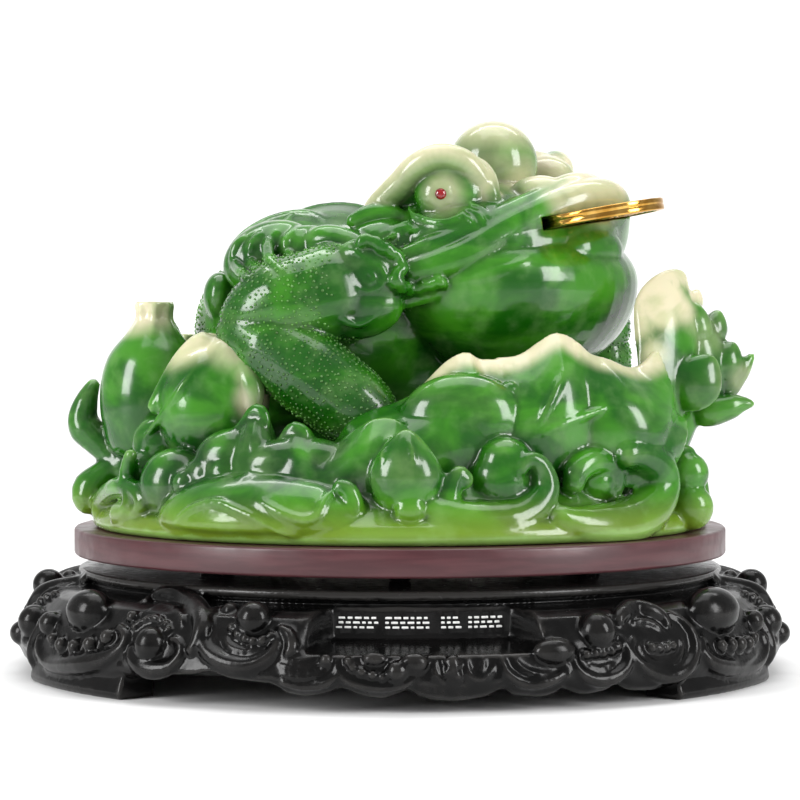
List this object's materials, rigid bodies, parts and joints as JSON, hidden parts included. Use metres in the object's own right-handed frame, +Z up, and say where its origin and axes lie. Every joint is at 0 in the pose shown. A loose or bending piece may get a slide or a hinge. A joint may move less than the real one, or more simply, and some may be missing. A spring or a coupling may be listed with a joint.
{
  "type": "money toad figure on a turntable",
  "caption": "Cast green figure of a toad holding a gold coin in its mouth, seated among waves, lotus leaves and pods, on a round board that turns on a black carved base with four broad feet.",
  "frame": {"origin": "on the ground under the middle of the round base", "axes": "+Z up along the axis of the turntable, +X towards the toad's head and the lotus flower, -Y towards the viewer and the panel on the base's front"},
  "size_m": [0.374, 0.374, 0.2663],
  "materials": {
    "base": "black satin-gloss lacquer over cast resin",
    "bearing": "plain pressed steel",
    "pads": "matt",
    "board": "smooth maroon lacquer",
    "figure": "glossy jade-like resin, cream on the head and the leaf rims",
    "coin": "polished gold plate",
    "gems": "clear red, polished"
  },
  "bodies": {
    "stand": {"carved_base": "base", "bearing_lower_race": "bearing", "glide_pad_1": "pads", "glide_pad_2": "pads", "glide_pad_3": "pads", "glide_pad_4": "pads", "glide_pad_5": "pads", "glide_pad_6": "pads"},
    "turntable": {"bearing_upper_race": "bearing", "turntable_board": "board", "toad_figure": "figure", "mouth_coin": "coin", "eye_gem_right": "gems", "eye_gem_left": "gems"}
  },
  "joints": [
    {"name": "turntable_spin", "type": "hinge", "parent": "stand", "child": "turntable", "pos_m": [0, 0, 0.053], "axis": [0, 0, 1], "continuous": true}
  ]
}
